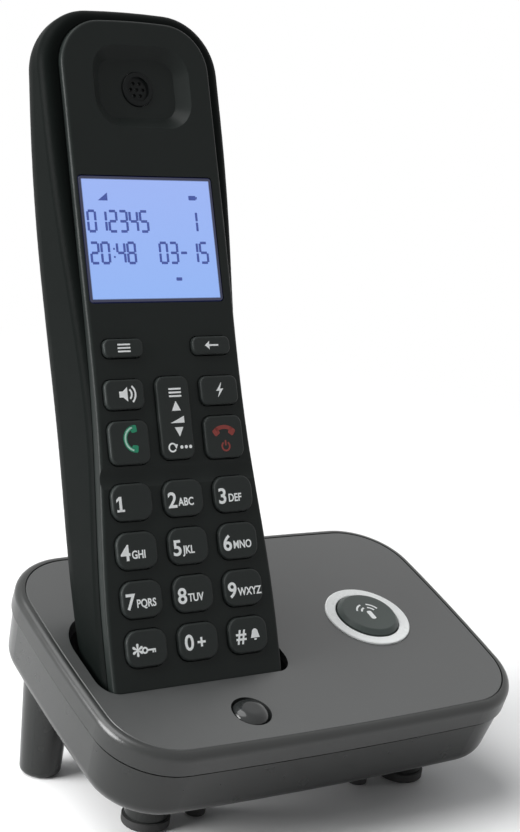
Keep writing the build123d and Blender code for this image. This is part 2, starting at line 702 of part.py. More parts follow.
with BuildPart() as battery_contacts:
    for s, height in ((bay[0] + 0.35, 4.4), (bay[1] - 0.35, 6.0)):
        slab(face, 0, s, 28.0, 0.6, cell_w - 3.5, cell_w + 3.5)
    for column in (-1, 0, 1):
        for low, high in (
            (bay[0] + 0.6, cell_s - cell_length / 2 - 0.1),
            (cell_s + cell_length / 2 + 0.9, bay[1] - 0.6),
        ):
            with BuildSketch(foot.offset(low)) as coil:
                with Locations((column * cell_pitch, -cell_w)):
                    Circle(2.4)
            extrude(coil.sketch, amount=high - low)
keep("battery_contacts", battery_contacts.part)

with BuildPart() as charging_pads:
    for x in (-contact_x, contact_x):
        slab(face, x, handset_bottom + 1.1, 3.6, 1.8, contact_w - 1.8, contact_w + 1.8)
        slab(face, x, handset_bottom + 2.25, 5.0, 0.6, contact_w - 2.5, contact_w + 2.5)
keep("charging_pads", charging_pads.part)

print(len(finished), "pieces written")
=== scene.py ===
"""Dresses the cordless telephone and its charging base: finishes, legends, display, grips, light and camera."""

import math

import bmesh
import bpy
from mathutils import Matrix, Vector


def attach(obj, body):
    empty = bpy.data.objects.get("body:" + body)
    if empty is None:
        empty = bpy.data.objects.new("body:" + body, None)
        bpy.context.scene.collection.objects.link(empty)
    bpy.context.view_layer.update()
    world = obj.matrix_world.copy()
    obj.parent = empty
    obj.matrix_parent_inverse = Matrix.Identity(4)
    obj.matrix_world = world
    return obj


bl_info = {
    "name": "Cordless Telephone",
    "version": (1, 0, 0),
    "blender": (4, 5, 0),
    "location": "View3D > Sidebar > Telephone",
    "description": "Finishes, legends and display of a cordless telephone on its charging base",
    "category": "Object",
}

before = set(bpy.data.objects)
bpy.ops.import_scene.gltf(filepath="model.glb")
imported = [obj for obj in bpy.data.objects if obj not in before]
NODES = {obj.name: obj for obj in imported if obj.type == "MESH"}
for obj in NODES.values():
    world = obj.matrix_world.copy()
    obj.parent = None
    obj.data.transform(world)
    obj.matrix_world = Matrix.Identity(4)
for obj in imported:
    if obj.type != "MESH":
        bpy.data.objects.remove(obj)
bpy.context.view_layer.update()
MM = 0.001

# The model's planes, in millimetres: the sloping deck, the handset's face and back, and the base's rear
BASE_TILT = math.radians(15.0)
HANDSET_LEAN = math.radians(24.2)
DECK_ORIGIN = Vector((0.0, -12.8, 38.8))
DOCK = (-27.6, -14.2)
REAR_REACH = 38.5

# Heights over the planes and places on them, in millimetres
KEY_TOP = 1.1
BUTTON_TOP = 1.7
PRINT_ROOT = 0.02
DISPLAY_CENTRE = (-0.8, 104.1)
DIGIT_PITCH = (13.8, 11.15)
DIGIT_ROW = 42.6
DIGIT_SHIFT = (-3.25, -0.3)


def matrix_of(across, up, out, origin, scale=1.0):
    """A matrix with these four columns, times a scale."""
    matrix = Matrix.Identity(4)
    for column, vector in enumerate((across, up, out, origin)):
        for row in range(3):
            matrix[row][column] = vector[row] * scale
    return matrix


def plane(origin, across, up, out):
    """A matrix that takes millimetres on a plane to metres in the model."""
    return matrix_of(Vector(across), up, out, origin, MM)


DECK_UP = Vector((0, math.cos(BASE_TILT), math.sin(BASE_TILT)))
DECK_OUT = Vector((0, -math.sin(BASE_TILT), math.cos(BASE_TILT)))
DECK = plane(DECK_ORIGIN, (1, 0, 0), DECK_UP, DECK_OUT)
FACE_UP = Vector((0, math.sin(HANDSET_LEAN), math.cos(HANDSET_LEAN)))
FACE_OUT = Vector((0, -math.cos(HANDSET_LEAN), math.sin(HANDSET_LEAN)))
FACE_ORIGIN = DECK_ORIGIN + Vector((DOCK[0], 0, 0)) + DECK_UP * DOCK[1]
FACE = plane(FACE_ORIGIN, (1, 0, 0), FACE_UP, FACE_OUT)
BACK = plane(FACE_ORIGIN, (-1, 0, 0), FACE_UP, -FACE_OUT)
REAR = plane(DECK_ORIGIN + DECK_UP * REAR_REACH, (-1, 0, 0), DECK_OUT, DECK_UP)

# ---------------------------------------------------------------- settings


class TELEPHONE_PG_legends(bpy.types.PropertyGroup):
    """Sizes and colours of what is printed on the keys."""

    digit_height: bpy.props.FloatProperty(
        name="Digit height", description="Height of a key's digit", default=3.5 * MM, unit="LENGTH"
    )
    letter_height: bpy.props.FloatProperty(
        name="Letter height", description="Height of the letters beside a digit", default=1.8 * MM, unit="LENGTH"
    )
    ink_height: bpy.props.FloatProperty(
        name="Ink height", description="How far the print stands over a key", default=0.03 * MM, unit="LENGTH"
    )
    ink: bpy.props.FloatVectorProperty(
        name="Ink", description="Colour of the print", default=(0.8, 0.82, 0.82), subtype="COLOR", size=3
    )
    talk_ink: bpy.props.FloatVectorProperty(
        name="Talk ink", description="Colour of the talk sign", default=(0.01, 0.21, 0.11), subtype="COLOR", size=3
    )
    end_ink: bpy.props.FloatVectorProperty(
        name="End ink", description="Colour of the end sign", default=(0.19, 0.026, 0.02), subtype="COLOR", size=3
    )


class TELEPHONE_PG_display(bpy.types.PropertyGroup):
    """Size and colours of the display."""

    width: bpy.props.FloatProperty(
        name="Width", description="Width of the lit area", default=35.0 * MM, unit="LENGTH"
    )
    height: bpy.props.FloatProperty(
        name="Height", description="Height of the lit area", default=28.6 * MM, unit="LENGTH"
    )
    glow: bpy.props.FloatVectorProperty(
        name="Glow", description="Colour of the backlight", default=(0.325, 0.485, 1.0), subtype="COLOR", size=3
    )
    segment: bpy.props.FloatVectorProperty(
        name="Segment", description="Colour of a dark segment", default=(0.07, 0.11, 0.4), subtype="COLOR", size=3
    )


class TELEPHONE_PG_plastics(bpy.types.PropertyGroup):
    """Colours of the moulded plastics."""

    deck: bpy.props.FloatVectorProperty(
        name="Deck", description="Colour of the deck plate", default=(0.055, 0.0575, 0.057), subtype="COLOR", size=3
    )
    base: bpy.props.FloatVectorProperty(
        name="Base", description="Colour of the base housings",
        default=(0.0125, 0.0138, 0.0132), subtype="COLOR", size=3
    )
    face: bpy.props.FloatVectorProperty(
        name="Face", description="Colour of the handset's face",
        default=(0.0125, 0.0155, 0.0145), subtype="COLOR", size=3
    )
    casing: bpy.props.FloatVectorProperty(
        name="Casing", description="Colour of the handset's rear housing",
        default=(0.0035, 0.0047, 0.0043), subtype="COLOR", size=3
    )
    keys: bpy.props.FloatVectorProperty(
        name="Keys", description="Colour of the keys", default=(0.021, 0.0248, 0.0238), subtype="COLOR", size=3
    )


# ---------------------------------------------------------------- node helpers


def link(tree, source, target):
    """Join an output socket to an input socket."""
    tree.links.new(source, target)


def feed(tree, value, socket):
    """Give an input socket a plain value or another socket's outcome."""
    if isinstance(value, bpy.types.NodeSocket):
        link(tree, value, socket)
    else:
        socket.default_value = value


def maths(tree, operation, *values, clamp=False):
    """The outcome of a Math node; each value is a number or a socket."""
    node = tree.nodes.new("ShaderNodeMath")
    node.operation = operation
    node.use_clamp = clamp
    for slot, value in enumerate(values):
        feed(tree, value, node.inputs[slot])
    return node.outputs[0]


def vector_maths(tree, operation, *values):
    """A Vector Math node; each value is a vector or a socket."""
    node = tree.nodes.new("ShaderNodeVectorMath")
    node.operation = operation
    for slot, value in enumerate(values):
        feed(tree, value, node.inputs[slot])
    return node


def scaled(tree, colour, factor):
    """A colour times a number or a socket."""
    node = vector_maths(tree, "SCALE", colour)
    feed(tree, factor, node.inputs["Scale"])
    return node.outputs[0]


def noise(tree, coordinates, scale, detail, roughness):
    """The outcome of a Noise node whose scale is a number or a socket."""
    node = tree.nodes.new("ShaderNodeTexNoise")
    node.inputs["Detail"].default_value = detail
    node.inputs["Roughness"].default_value = roughness
    link(tree, coordinates, node.inputs["Vector"])
    feed(tree, scale, node.inputs["Scale"])
    return node.outputs["Fac"]


def map_range(tree, value, source, target=(0.0, 1.0), kind="LINEAR"):
    """A socket's value, taken from the source range to the target range."""
    node = tree.nodes.new("ShaderNodeMapRange")
    node.interpolation_type = kind
    for label, number in zip(("From Min", "From Max", "To Min", "To Max"), (*source, *target)):
        node.inputs[label].default_value = number
    link(tree, value, node.inputs["Value"])
    return node.outputs[0]


def mix(tree, kind, factor, first, second):
    """Two numbers or colours mixed, of the kind FLOAT or RGBA."""
    node = tree.nodes.new("ShaderNodeMix")
    node.data_type = kind
    for label, value in (("Factor", factor), ("A", first), ("B", second)):
        feed(tree, value, node.inputs[label])
    return node.outputs["Result"]


def mix_shaders(tree, factor, first, second, output):
    """Two shaders mixed into an output node."""
    node = tree.nodes.new("ShaderNodeMixShader")
    for slot, source in enumerate((factor, first, second)):
        link(tree, source, node.inputs[slot])
    link(tree, node.outputs[0], output.inputs["Surface"])


def object_place(tree):
    """The place on a piece, in the model's own coordinates."""
    return tree.nodes.new("ShaderNodeTexCoord").outputs["Object"]


def node_of(material, kind):
    """A material's node of one kind."""
    return next(node for node in material.node_tree.nodes if node.type == kind)


# ---------------------------------------------------------------- shader groups

SURFACE_OUTPUTS = [
    ("Colour", "NodeSocketColor"), ("Roughness", "NodeSocketFloat"), ("Height", "NodeSocketFloat")
]
GROUPS = {}


def new_group(name, inputs, outputs):
    """An empty shader group with named inputs (name, kind, default) and outputs (name, kind)."""
    group = bpy.data.node_groups.new(name, "ShaderNodeTree")
    for label, kind, default in inputs:
        socket = group.interface.new_socket(label, in_out="INPUT", socket_type=kind)
        socket.default_value = default
    for label, kind in outputs:
        group.interface.new_socket(label, in_out="OUTPUT", socket_type=kind)
    return group, group.nodes.new("NodeGroupInput").outputs, group.nodes.new("NodeGroupOutput").inputs


def moulded_grain_group():
    """Spark-eroded grain of moulded plastic: fine bumps, cloudy gloss and a slight drift of colour."""
    group, given, made = new_group(
        "Moulded grain",
        [
            ("Colour", "NodeSocketColor", (0.5, 0.5, 0.5, 1)),
            ("Roughness", "NodeSocketFloat", 0.5),
            ("Grain Scale", "NodeSocketFloat", 2500.0),
            ("Grain Depth", "NodeSocketFloat", 0.2),
            ("Cloud", "NodeSocketFloat", 0.1),
        ],
        SURFACE_OUTPUTS,
    )
    place = object_place(group)
    fine = noise(group, place, given["Grain Scale"], detail=3.0, roughness=0.6)
    cloud = maths(group, "SUBTRACT", noise(group, place, scale=55.0, detail=4.0, roughness=0.55), 0.5)
    smear = maths(group, "SUBTRACT", noise(group, place, scale=240.0, detail=2.0, roughness=0.5), 0.5)
    drift = maths(group, "MULTIPLY_ADD", cloud, given["Cloud"], 1.0)
    patch = maths(group, "MULTIPLY", smear, 0.08)
    link(group, scaled(group, given["Colour"], drift), made["Colour"])
    link(group, maths(group, "ADD", given["Roughness"], patch, clamp=True), made["Roughness"])
    link(group, maths(group, "MULTIPLY", fine, given["Grain Depth"]), made["Height"])
    return group


def rolled_metal_group():
    """Rolled or plated metal: long fine streaks in gloss and height, and a faint tarnish."""
    group, given, made = new_group(
        "Rolled metal",
        [
            ("Colour", "NodeSocketColor", (0.6, 0.6, 0.6, 1)),
            ("Roughness", "NodeSocketFloat", 0.3),
            ("Streak", "NodeSocketFloat", 0.2),
        ],
        SURFACE_OUTPUTS,
    )
    place = object_place(group)
    stretch = group.nodes.new("ShaderNodeMapping")
    stretch.inputs["Scale"].default_value = (1.0, 14.0, 14.0)
    link(group, place, stretch.inputs["Vector"])
    streak = noise(group, stretch.outputs[0], scale=420.0, detail=3.0, roughness=0.6)
    tarnish = noise(group, place, scale=160.0, detail=3.0, roughness=0.5)
    change = maths(group, "MULTIPLY", maths(group, "SUBTRACT", streak, 0.5), given["Streak"])
    level = maths(group, "MULTIPLY_ADD", tarnish, 0.25, 0.86)
    link(group, maths(group, "ADD", given["Roughness"], change, clamp=True), made["Roughness"])
    link(group, scaled(group, given["Colour"], level), made["Colour"])
    link(group, maths(group, "MULTIPLY", streak, 0.4), made["Height"])
    return group


def face_window_group():
    """A mask that is 1 inside a rectangle on the handset's face and 0 outside it, with the place up it."""
    group, given, made = new_group(
        "Face window",
        [
            ("Half Width", "NodeSocketFloat", 18.0 * MM),
            ("Half Height", "NodeSocketFloat", 14.0 * MM),
            ("Edge", "NodeSocketFloat", 0.3 * MM),
        ],
        [("Mask", "NodeSocketFloat"), ("Up", "NodeSocketFloat")],
    )
    middle = FACE @ Vector((*DISPLAY_CENTRE, 0))
    from_middle = vector_maths(group, "SUBTRACT", object_place(group), middle).outputs[0]
    masks = []
    for axis, half in ((Vector((1, 0, 0)), given["Half Width"]), (FACE_UP, given["Half Height"])):
        along = vector_maths(group, "DOT_PRODUCT", from_middle, axis).outputs["Value"]
        room = maths(group, "SUBTRACT", half, maths(group, "ABSOLUTE", along))
        masks.append(maths(group, "DIVIDE", room, given["Edge"], clamp=True))
        if axis == FACE_UP:
            link(group, maths(group, "DIVIDE", along, half), made["Up"])
    link(group, maths(group, "MULTIPLY", *masks), made["Mask"])
    return group


def group_named(name, build):
    """The shader group of that name, built at its first use."""
    if name not in GROUPS:
        GROUPS[name] = build()
    return GROUPS[name]


# ---------------------------------------------------------------- materials

GRAIN_RELIEF = 0.06 * MM
STREAK_RELIEF = 0.02 * MM
DISPLAY_BORDER = (0.006, 0.009, 0.05, 1)
DISPLAY_EDGE = 0.25 * MM
FOOT_TINT = (0.93, 1.02, 1.0)
TOP_TINT = (1.08, 1.02, 1.0)
# The display is partly a pigment and partly a light
DISPLAY_PIGMENT = 0.3
DISPLAY_LIGHT = 0.72


def new_material(name):
    """A material with its tree and its Principled shader, joined to its output."""
    material = bpy.data.materials.new(name)
    material.use_nodes = True
    tree = material.node_tree
    tree.nodes.clear()
    shader = tree.nodes.new("ShaderNodeBsdfPrincipled")
    output = tree.nodes.new("ShaderNodeOutputMaterial")
    link(tree, shader.outputs[0], output.inputs["Surface"])
    return material, tree, shader


def set_shader(shader, values):
    """Give the shader's sockets plain values."""
    for label, value in values.items():
        shader.inputs[label].default_value = value


def use_group(tree, shader, group, values, relief):
    """Place a shader group and feed its colour, its roughness and its height, times the relief, to the shader."""
    node = tree.nodes.new("ShaderNodeGroup")
    node.node_tree = group
    for label, value in values.items():
        node.inputs[label].default_value = value
    link(tree, node.outputs["Colour"], shader.inputs["Base Color"])
    link(tree, node.outputs["Roughness"], shader.inputs["Roughness"])
    bump = tree.nodes.new("ShaderNodeBump")
    bump.inputs["Distance"].default_value = relief
    bump.inputs["Strength"].default_value = 1.0
    link(tree, node.outputs["Height"], bump.inputs["Height"])
    link(tree, bump.outputs[0], shader.inputs["Normal"])


def moulded(name, colour, roughness, grain=2500.0, depth=0.2, cloud=0.2, coat=0.0, specular=0.5):
    """A moulded plastic or rubber."""
    material, tree, shader = new_material(name)
    values = {
        "Colour": (*colour, 1),
        "Roughness": roughness,
        "Grain Scale": grain,
        "Grain Depth": depth,
        "Cloud": cloud,
    }
    use_group(tree, shader, group_named("Moulded grain", moulded_grain_group), values, GRAIN_RELIEF)
    set_shader(shader, {"Specular IOR Level": specular, "Coat Weight": coat, "Coat Roughness": 0.12})
    return material


def metal(name, colour, roughness, streak=0.2):
    """A plated or rolled metal."""
    material, tree, shader = new_material(name)
    values = {"Colour": (*colour, 1), "Roughness": roughness, "Streak": streak}
    use_group(tree, shader, group_named("Rolled metal", rolled_metal_group), values, STREAK_RELIEF)
    set_shader(shader, {"Metallic": 1.0})
    return material


def display_material(settings):
    """The display behind its window: a navy border round a lit field that is a little darker at its foot."""
    material, tree, shader = new_material("Display window")
    window = tree.nodes.new("ShaderNodeGroup")
    window.node_tree = group_named("Face window", face_window_group)
    window.inputs["Half Width"].default_value = settings.width / 2
    window.inputs["Half Height"].default_value = settings.height / 2
    window.inputs["Edge"].default_value = DISPLAY_EDGE
    foot, top = [
        (*(part * share for part, share in zip(settings.glow, tint)), 1) for tint in (FOOT_TINT, TOP_TINT)
    ]
    field = mix(tree, "RGBA", map_range(tree, window.outputs["Up"], (-1.0, 1.0)), foot, top)
    colour = mix(tree, "RGBA", window.outputs["Mask"], DISPLAY_BORDER, field)
    link(tree, scaled(tree, colour, DISPLAY_PIGMENT), shader.inputs["Base Color"])
    link(tree, colour, shader.inputs["Emission Color"])
    set_shader(shader, {"Emission Strength": DISPLAY_LIGHT, "Roughness": 0.16, "Coat Weight": 0.3})
    return material


def ink_material(name, colour, glow):
    """Printed ink: matt, with a faint grain and a little glow, which is painted light: the print gives off light of
    its own, as no real print does.
    """
    material = moulded(name, colour, 0.6, grain=4000.0, depth=0.1, cloud=0.12)
    set_shader(node_of(material, "BSDF_PRINCIPLED"), {"Emission Color": (*colour, 1), "Emission Strength": glow})
    return material


def smoked_material():
    """The dome over the charge light: smoky, glossy and partly clear."""
    material = moulded("Smoked dome", (0.02, 0.022, 0.022), 0.14, grain=600.0, depth=0.03, cloud=0.1,
                       coat=0.25, specular=0.25)
    set_shader(node_of(material, "BSDF_PRINCIPLED"), {"Transmission Weight": 0.15})
    return material


# ---------------------------------------------------------------- mesh helpers

CORNER_STEPS = 6
ARC_STEPS = 16
# Height of a capital as a part of the type's size
CAPITAL = 0.69


def prism(points, low, high):
    """A flat shape with the outline points, from height low to high."""
    bm = bmesh.new()
    floor = [bm.verts.new((x, y, low)) for x, y in points]
    roof = [bm.verts.new((x, y, high)) for x, y in points]
    bm.faces.new(floor)
    bm.faces.new(roof)
    for index in range(len(points)):
        after = (index + 1) % len(points)
        bm.faces.new((floor[index], floor[after], roof[after], roof[index]))
    bmesh.ops.recalc_face_normals(bm, faces=bm.faces)
    mesh = bpy.data.meshes.new("shape")
    bm.to_mesh(mesh)
    bm.free()
    return mesh


def bar(x, y, width, length, low, high, corner=0.0):
    """A flat bar round (x, y) with rounded corners."""
    corner = min(corner, width / 2, length / 2)
    steps = CORNER_STEPS if corner > 0 else 1
    points = []
    for quarter, (sign_x, sign_y) in enumerate(((1, 1), (-1, 1), (-1, -1), (1, -1))):
        centre_x, centre_y = x + sign_x * (width / 2 - corner), y + sign_y * (length / 2 - corner)
        for step in range(steps):
            angle = math.radians(90 * quarter + (90 * step / (steps - 1) if steps > 1 else 45))
            points.append((centre_x + corner * math.cos(angle), centre_y + corner * math.sin(angle)))
    return prism(points, low, high)


def arc_points(x, y, radius, start, end):
    """Points on a circle, between two angles in degrees."""
    angles = [math.radians(start + (end - start) * step / ARC_STEPS) for step in range(ARC_STEPS + 1)]
    return [(x + radius * math.cos(angle), y + radius * math.sin(angle)) for angle in angles]


def arc_band(x, y, radius, width, start, end, low, high):
    """Part of a flat ring, between two angles in degrees."""
    outer = arc_points(x, y, radius + width / 2, start, end)
    inner = arc_points(x, y, radius - width / 2, start, end)
    return prism(outer + inner[::-1], low, high)


def lettering(text, height, x, y, low, high, weight, align="CENTER", stretch=1.0):
    """Flat raised text whose capitals have the given height, centred on y, with its width changed by stretch."""
    curve = bpy.data.curves.new("lettering", "FONT")
    curve.body = text
    curve.size = height / CAPITAL
    curve.align_x = align
    curve.extrude = (high - low) / 2
    curve.offset = weight
    curve.resolution_u = 4
    thing = bpy.data.objects.new("lettering", curve)
    bpy.context.scene.collection.objects.link(thing)
    graph = bpy.context.evaluated_depsgraph_get()
    mesh = bpy.data.meshes.new_from_object(thing.evaluated_get(graph))
    mesh.transform(Matrix.Translation((x, y - height / 2, (low + high) / 2)) @ Matrix.Diagonal((stretch, 1, 1, 1)))
    bpy.data.objects.remove(thing)
    return mesh


def piece(name, parts, place, material, body):
    """Join flat parts, put them on a plane and let them ride on a body."""
    bm = bmesh.new()
    for part in parts:
        bm.from_mesh(part)
        bpy.data.meshes.remove(part)
    bmesh.ops.transform(bm, matrix=place, verts=bm.verts)
    mesh = bpy.data.meshes.new(name)
    bm.to_mesh(mesh)
    bm.free()
    mesh.materials.append(material)
    thing = bpy.data.objects.new(name, mesh)
    bpy.context.scene.collection.objects.link(thing)
    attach(thing, body)


def finish_nodes(names, material):
    """Give CAD nodes a material."""
    for name in names:
        slots = NODES[name].data.materials
        slots.clear()
        slots.append(material)


# ---------------------------------------------------------------- rows of rods

ROD_STEPS = 24
ROD_SIDES = 16
# A rod's end: how long its round part is, as a share of the rod, and how thin its tip
ROD_END = 0.08
ROD_TIP = 0.05


def row_tree(name, item):
    """A geometry tree that repeats item along a row; item(tree, given) returns a geometry socket."""
    tree = bpy.data.node_groups.new(name, "GeometryNodeTree")
    tree.interface.new_socket("Geometry", in_out="OUTPUT", socket_type="NodeSocketGeometry")
    for label, kind, default in (
        ("Count", "NodeSocketInt", 4),
        ("Pitch", "NodeSocketFloat", 1.0),
        ("Length", "NodeSocketFloat", 5.0),
        ("Radius", "NodeSocketFloat", 0.3),
        ("Material", "NodeSocketMaterial", None),
    ):
        socket = tree.interface.new_socket(label, in_out="INPUT", socket_type=kind)
        if default is not None:
            socket.default_value = default
    given, made = tree.nodes.new("NodeGroupInput").outputs, tree.nodes.new("NodeGroupOutput")
    line = tree.nodes.new("GeometryNodeMeshLine")
    link(tree, given["Count"], line.inputs["Count"])
    step = tree.nodes.new("ShaderNodeCombineXYZ")
    link(tree, given["Pitch"], step.inputs["Y"])
    link(tree, step.outputs[0], line.inputs["Offset"])
    spread = tree.nodes.new("GeometryNodeInstanceOnPoints")
    link(tree, line.outputs[0], spread.inputs["Points"])
    link(tree, item(tree, given), spread.inputs["Instance"])
    real = tree.nodes.new("GeometryNodeRealizeInstances")
    link(tree, spread.outputs[0], real.inputs[0])
    painted = tree.nodes.new("GeometryNodeSetMaterial")
    link(tree, real.outputs[0], painted.inputs[0])
    link(tree, given["Material"], painted.inputs["Material"])
    link(tree, painted.outputs[0], made.inputs[0])
    return tree


def rounded_rod(tree, given):
    """One rod across the row with round ends: a curve line with a round profile."""
    line = tree.nodes.new("GeometryNodeCurvePrimitiveLine")
    for label, share in (("Start", -0.5), ("End", 0.5)):
        end = tree.nodes.new("ShaderNodeCombineXYZ")
        link(tree, maths(tree, "MULTIPLY", given["Length"], share), end.inputs["X"])
        link(tree, end.outputs[0], line.inputs[label])
    resample = tree.nodes.new("GeometryNodeResampleCurve")
    resample.inputs["Count"].default_value = ROD_STEPS
    link(tree, line.outputs[0], resample.inputs["Curve"])
    taper = tree.nodes.new("ShaderNodeFloatCurve")
    points = taper.mapping.curves[0].points
    points[0].location, points[1].location = (0.0, ROD_TIP), (1.0, ROD_TIP)
    points.new(ROD_END, 1.0)
    points.new(1.0 - ROD_END, 1.0)
    taper.mapping.update()
    link(tree, tree.nodes.new("GeometryNodeSplineParameter").outputs["Factor"], taper.inputs["Value"])
    circle = tree.nodes.new("GeometryNodeCurvePrimitiveCircle")
    circle.inputs["Resolution"].default_value = ROD_SIDES
    link(tree, given["Radius"], circle.inputs["Radius"])
    body = tree.nodes.new("GeometryNodeCurveToMesh")
    link(tree, resample.outputs[0], body.inputs["Curve"])
    link(tree, circle.outputs[0], body.inputs["Profile Curve"])
    link(tree, taper.outputs[0], body.inputs["Scale"])
    body.inputs["Fill Caps"].default_value = True
    return body.outputs[0]


def grow(tree, values, material):
    """The plain mesh that a row tree makes with those values."""
    holder = bpy.data.objects.new("holder", bpy.data.meshes.new("holder"))
    bpy.context.scene.collection.objects.link(holder)
    modifier = holder.modifiers.new("Row", "NODES")
    modifier.node_group = tree
    for item in tree.interface.items_tree:
        if item.in_out == "INPUT":
            modifier[item.identifier] = material if item.name == "Material" else values[item.name]
    graph = bpy.context.evaluated_depsgraph_get()
    mesh = bpy.data.meshes.new_from_object(holder.evaluated_get(graph))
    bpy.data.objects.remove(holder)
    return mesh


# ---------------------------------------------------------------- finishes


class TELEPHONE_OT_base_finish(bpy.types.Operator):
    """Finish the deck, the housings, the paging button and the charge light of the base."""

    bl_idname = "telephone.base_finish"
    bl_label = "Finish the base"

    def execute(self, context):
        plastics = context.scene.telephone_plastics
        deck = moulded("Deck plastic", plastics.deck, 0.3, grain=2600.0, depth=0.25, cloud=0.12, specular=0.7)
        finish_nodes(["deck_plate"], deck)
        rim = moulded("Rim plastic", plastics.base, 0.3, grain=2200.0, depth=0.3, cloud=0.2, specular=0.55)
        finish_nodes(["upper_housing"], rim)
        tub = moulded("Tub plastic", plastics.base, 0.26, grain=2000.0, depth=0.35, cloud=0.25, specular=0.42)
        finish_nodes(["lower_housing"], tub)
        finish_nodes(["cradle_cup", "page_switch"], moulded("Cup plastic", (0.012, 0.013, 0.013), 0.5))
        finish_nodes(["power_inlet", "line_socket"], moulded("Socket plastic", (0.01, 0.01, 0.011), 0.45))
        ring = moulded("Ring lacquer", (0.93, 0.95, 0.94), 0.28, grain=5000.0, depth=0.15, cloud=0.05, coat=0.3)
        finish_nodes(["page_ring"], ring)
        button = moulded("Button plastic", (0.055, 0.069, 0.064), 0.4, grain=2400.0, depth=0.3, specular=0.3)
        finish_nodes(["page_button"], button)
        pad = moulded("Pad rubber", (0.02, 0.02, 0.02), 0.75, grain=1500.0, depth=0.6, cloud=0.3)
        finish_nodes(["rubber_pads"], pad)
        finish_nodes(["charge_lens"], smoked_material())
        light = moulded("Light body", (0.6, 0.03, 0.02), 0.2, grain=800.0, depth=0.05, cloud=0.1)
        finish_nodes(["charge_light"], light)
        return {"FINISHED"}


class TELEPHONE_OT_inner_finish(bpy.types.Operator):
    """Finish the boards, contacts, screws, cells and other pieces inside."""

    bl_idname = "telephone.inner_finish"
    bl_label = "Finish the inside"

    def execute(self, context):
        board = moulded("Board lacquer", (0.015, 0.13, 0.05), 0.35, grain=900.0, depth=0.5, cloud=0.5)
        finish_nodes(["base_board", "light_board", "handset_board"], board)
        finish_nodes(["base_screws", "handset_screws"], metal("Screw steel", (0.55, 0.55, 0.54), 0.32))
        contact = metal("Contact nickel", (0.72, 0.69, 0.6), 0.22, streak=0.15)
        finish_nodes(["base_contacts", "charging_pads", "battery_contacts"], contact)
        tin = metal("Tin plate", (0.66, 0.67, 0.68), 0.35, streak=0.3)
        finish_nodes(["radio_shield", "receiver", "loudspeaker", "microphone"], tin)
        finish_nodes(["base_antenna", "handset_antenna"], metal("Antenna brass", (0.75, 0.55, 0.25), 0.3))
        sleeve = moulded("Cell sleeve", (0.02, 0.2, 0.1), 0.25, grain=700.0, depth=0.1, coat=0.5)
        finish_nodes(["battery_cells"], sleeve)
        finish_nodes(["keypad_mat"], moulded("Mat rubber", (0.22, 0.22, 0.23), 0.7, grain=1200.0, depth=0.4))
        finish_nodes(["display_backlight"], moulded("Light guide", (0.85, 0.86, 0.88), 0.25))
        finish_nodes(["display_frame"], moulded("Frame plastic", (0.015, 0.015, 0.016), 0.5))
        glass = moulded("Display glass", (0.3, 0.38, 0.7), 0.1, grain=500.0, depth=0.02, cloud=0.1, coat=0.8)
        finish_nodes(["display"], glass)
        return {"FINISHED"}


class TELEPHONE_OT_handset_finish(bpy.types.Operator):
    """Finish the handset's housings, keys, battery door and earpiece grille."""

    bl_idname = "telephone.handset_finish"
    bl_label = "Finish the handset"

    def execute(self, context):
        plastics = context.scene.telephone_plastics
        face = moulded("Face plastic", plastics.face, 0.36, grain=2600.0, cloud=0.3, specular=0.12)
        finish_nodes(["front_housing"], face)
        casing = moulded("Casing plastic", plastics.casing, 0.46, grain=2400.0, depth=0.3, cloud=0.3, specular=0.03)
        finish_nodes(["rear_housing", "battery_door"], casing)
        grille = moulded("Grille plastic", (0.01, 0.0115, 0.0115), 0.3, grain=2000.0, specular=0.1)
        finish_nodes(["earpiece_grille"], grille)
        names = [name for name in NODES if name.endswith("_key") or name.startswith("digit_key")]
        keys = moulded("Key rubber", plastics.keys, 0.4, grain=2600.0, depth=0.3, cloud=0.25, specular=0.15)
        finish_nodes(names, keys)
        return {"FINISHED"}


# ---------------------------------------------------------------- display

# Levels, sizes and spacing of the dark segments, in millimetres
SEGMENT_LEVELS = (-0.06, -0.02)
SEGMENT_WIDTH = 1.95
SEGMENT_HEIGHT = 4.8
SEGMENT_THICKNESS = 0.62
SEGMENT_JOINT = 0.3
SEGMENT_SPACE = 0.85
COLON_SIZE = 0.45
COLON_STEP = 1.35
SEGMENTS = {
    "0": "abcdef", "1": "bc", "2": "abged", "3": "abgcd", "4": "fgbc", "5": "afgcd", "6": "afgedc", "7": "abc",
    "8": "abcdefg", "9": "abcdfg", "-": "g",
}
# Text, and its left and foot from the display's middle
DISPLAY_TEXT = (("012345", -16.6, 1.8), ("1", 11.0, 1.8), ("20:48", -16.6, -5.7), ("03-15", 1.9, -5.7))


def segment_text(text, left, foot):
    """Seven-segment digits as flat bars."""
    width, height, half = SEGMENT_WIDTH, SEGMENT_HEIGHT, SEGMENT_HEIGHT / 2
    # Each segment's middle, and whether it lies level
    places = {
        "a": (width / 2, height, True), "g": (width / 2, half, True), "d": (width / 2, 0, True),
        "f": (0, half * 1.5, False), "b": (width, half * 1.5, False),
        "e": (0, half * 0.5, False), "c": (width, half * 0.5, False),
    }
    parts = []
    x = left
    for sign in text:
        if sign == ":":
            for share in (0.3, 0.7):
                parts.append(bar(x + 0.5, foot + height * share, COLON_SIZE, COLON_SIZE, *SEGMENT_LEVELS))
            x += COLON_STEP
            continue
        for key in SEGMENTS[sign]:
            dx, dy, level = places[key]
            size = (width - SEGMENT_JOINT, SEGMENT_THICKNESS) if level else (SEGMENT_THICKNESS, half - SEGMENT_JOINT)
            parts.append(bar(x + dx, foot + dy, *size, *SEGMENT_LEVELS, 0.1))
        x += width + SEGMENT_SPACE
    return parts


